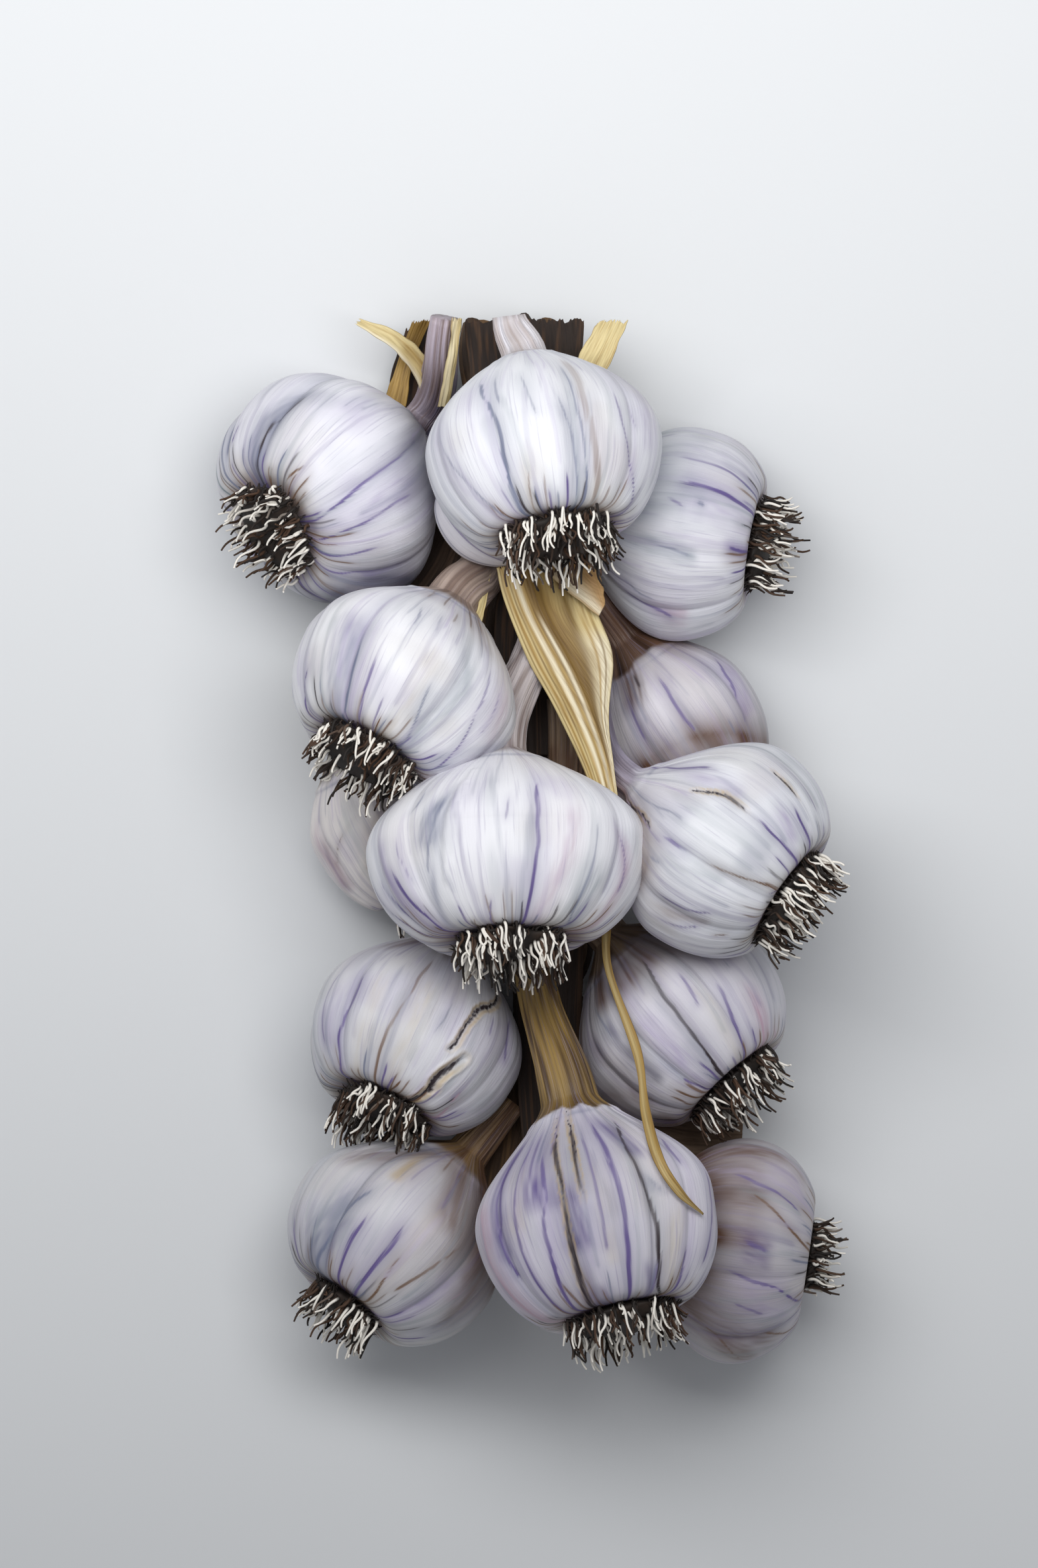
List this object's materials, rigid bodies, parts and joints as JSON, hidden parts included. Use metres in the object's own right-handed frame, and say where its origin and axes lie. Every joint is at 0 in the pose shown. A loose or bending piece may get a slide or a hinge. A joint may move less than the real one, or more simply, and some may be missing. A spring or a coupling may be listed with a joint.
{
  "type": "garlic braid",
  "caption": "Braid of dried garlic heads with trimmed roots, their stalks plaited behind them, lying on its back with dry straw-coloured leaves between the heads.",
  "frame": {"origin": "on the surface that the braid lies on, under the middle of its box", "axes": "+Y up the braid towards the trimmed stalks, +X to the right of the shown side, +Z out of the shown side"},
  "size_m": [0.153, 0.2552, 0.0853],
  "materials": {
    "white_skin": "dry white papery garlic skin with lavender veins, satin",
    "violet_skin": "dry papery garlic skin, boldly streaked with violet",
    "dry_roots": "trimmed dry rootlets, cream over a dark brown crown, matt",
    "dark_stalk": "dried stalks, dark brown to straw, fibrous and matt",
    "golden_leaf": "dry straw-gold leaf with long parallel veins, matt",
    "dark_leaf": "dry dark brown leaf, fibrous and matt"
  },
  "bodies": {
    "root": {"plait_strand_1": "dark_stalk", "plait_strand_2": "dark_stalk", "plait_strand_3": "dark_stalk", "head_top": "white_skin", "head_middle": "white_skin", "head_bottom": "violet_skin", "head_upper_left": "white_skin", "head_upper_right": "white_skin", "head_top_left": "white_skin", "head_top_right": "white_skin", "head_lower_left": "white_skin", "head_lower_right": "white_skin", "head_bottom_left": "white_skin", "head_bottom_right": "white_skin", "head_left_back": "white_skin", "head_right_back": "white_skin", "clove_top": "white_skin", "roots_top": "dry_roots", "roots_middle": "dry_roots", "roots_bottom": "dry_roots", "roots_upper_left": "dry_roots", "roots_upper_right": "dry_roots", "roots_top_left": "dry_roots", "roots_top_right": "dry_roots", "roots_lower_left": "dry_roots", "roots_lower_right": "dry_roots", "roots_bottom_left": "dry_roots", "roots_bottom_right": "dry_roots", "roots_left_back": "dry_roots", "roots_right_back": "dry_roots", "leaf_folded": "golden_leaf", "leaf_flap": "golden_leaf", "leaf_tendril": "golden_leaf", "leaf_top_curled": "golden_leaf", "leaf_top_inner": "golden_leaf", "leaf_top_right": "golden_leaf", "leaf_top_stalk": "golden_leaf", "leaf_upper_left": "golden_leaf", "leaf_inner_top": "dark_leaf", "leaf_inner_upper": "dark_leaf", "leaf_inner_lower": "dark_leaf", "leaf_inner_stalks": "dark_leaf", "leaf_inner_left": "dark_leaf", "leaf_inner_bottom": "dark_leaf", "leaf_inner_right": "dark_leaf"}
  },
  "joints": []
}
